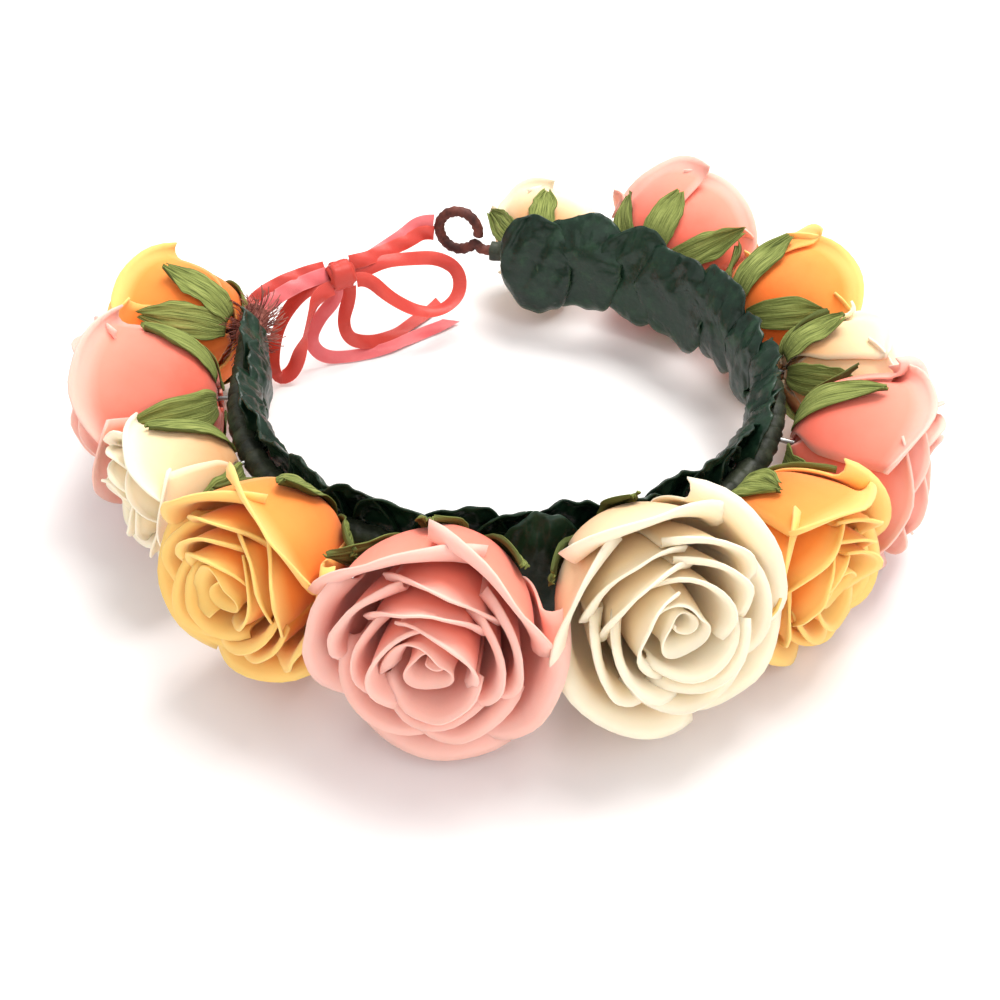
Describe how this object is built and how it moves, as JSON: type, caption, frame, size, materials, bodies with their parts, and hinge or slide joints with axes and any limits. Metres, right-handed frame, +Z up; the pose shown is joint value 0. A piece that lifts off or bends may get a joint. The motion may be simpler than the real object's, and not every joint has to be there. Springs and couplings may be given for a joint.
{
  "type": "flower crown",
  "caption": "Head wreath of foam roses in pink, orange and cream on a leaf-lined wire band, open at the back and tied with a satin ribbon bow.",
  "frame": {"origin": "centre of the head opening, on the surface that the crown lies on", "axes": "+Z up out of the head opening, -Y to the front of the crown, +Y to the gap at the back where the ribbon is tied, +X to the left of the wearer"},
  "size_m": [0.2718, 0.2647, 0.0714],
  "materials": {
    "foam_orange": "matte foam, yellow at the petal rims",
    "foam_pink": "matte foam, pale pink outside and coral inside",
    "foam_cream": "matte foam, tan towards the bud",
    "crepe_green": "matte crepe with lengthwise wrinkles",
    "waxed_leaf": "glossy waxed and crinkled",
    "floral_tape": "waxy stretched tape",
    "brown_tape": "wound raffia and tape",
    "steel_wire": "drawn wire",
    "ribbon_coral": "satin",
    "ribbon_pink": "satin"
  },
  "bodies": {
    "front": {"leaves_front": "waxed_leaf", "rose_04_bud": "foam_orange", "rose_04_inner_petals": "foam_orange", "rose_04_outer_petals": "foam_orange", "rose_05_bud": "foam_pink", "rose_05_inner_petals": "foam_pink", "rose_05_outer_petals": "foam_pink", "rose_06_bud": "foam_cream", "rose_06_inner_petals": "foam_cream", "rose_06_outer_petals": "foam_cream", "rose_07_bud": "foam_orange", "rose_07_inner_petals": "foam_orange", "rose_07_outer_petals": "foam_orange", "rose_08_bud": "foam_pink", "rose_08_inner_petals": "foam_pink", "rose_08_outer_petals": "foam_pink", "rose_09_bud": "foam_cream", "rose_09_inner_petals": "foam_cream", "rose_09_outer_petals": "foam_cream", "sepals_front": "crepe_green", "stems_front": "steel_wire", "tape_front": "floral_tape", "wire_front": "steel_wire"},
    "left_arm": {"lashing_left": "brown_tape", "leaves_left": "waxed_leaf", "ribbon_strand_left": "ribbon_coral", "rose_01_bud": "foam_orange", "rose_01_inner_petals": "foam_orange", "rose_01_outer_petals": "foam_orange", "rose_02_bud": "foam_pink", "rose_02_inner_petals": "foam_pink", "rose_02_outer_petals": "foam_pink", "rose_03_bud": "foam_cream", "rose_03_inner_petals": "foam_cream", "rose_03_outer_petals": "foam_cream", "sepals_left": "crepe_green", "stems_left": "steel_wire", "tape_left": "floral_tape", "wire_left": "steel_wire"},
    "right_arm": {"eyelet_right": "brown_tape", "leaves_right": "waxed_leaf", "ribbon_strand_right": "ribbon_coral", "rose_10_bud": "foam_orange", "rose_10_inner_petals": "foam_orange", "rose_10_outer_petals": "foam_orange", "rose_11_bud": "foam_pink", "rose_11_inner_petals": "foam_pink", "rose_11_outer_petals": "foam_pink", "rose_12_bud": "foam_cream", "rose_12_inner_petals": "foam_cream", "rose_12_outer_petals": "foam_cream", "sepals_right": "crepe_green", "stems_right": "steel_wire", "tape_right": "floral_tape", "wire_right": "steel_wire"},
    "bow": {"bow_knot": "ribbon_coral", "bow_loop_left": "ribbon_pink", "bow_loop_right": "ribbon_coral", "bow_tail_coral": "ribbon_coral", "bow_tail_pink": "ribbon_pink"}
  },
  "joints": [
    {"name": "left_arm_flex", "type": "hinge", "parent": "front", "child": "left_arm", "pos_m": [-0.08692, -0.01377, 0.033], "axis": [0, 0, -1], "range_deg": [0, 6], "deforming": ["ribbon_strand_left", "bow_loop_left"]},
    {"name": "right_arm_flex", "type": "hinge", "parent": "front", "child": "right_arm", "pos_m": [0.08451, -0.02455, 0.033], "axis": [0, 0, 1], "range_deg": [0, 6], "deforming": ["ribbon_strand_right", "bow_loop_right"]},
    {"name": "bow_swing", "type": "hinge", "parent": "front", "child": "bow", "pos_m": [-0.0175, 0.0885, 0.037], "axis": [-1, 0, 0], "range_deg": [0, 70]}
  ]
}
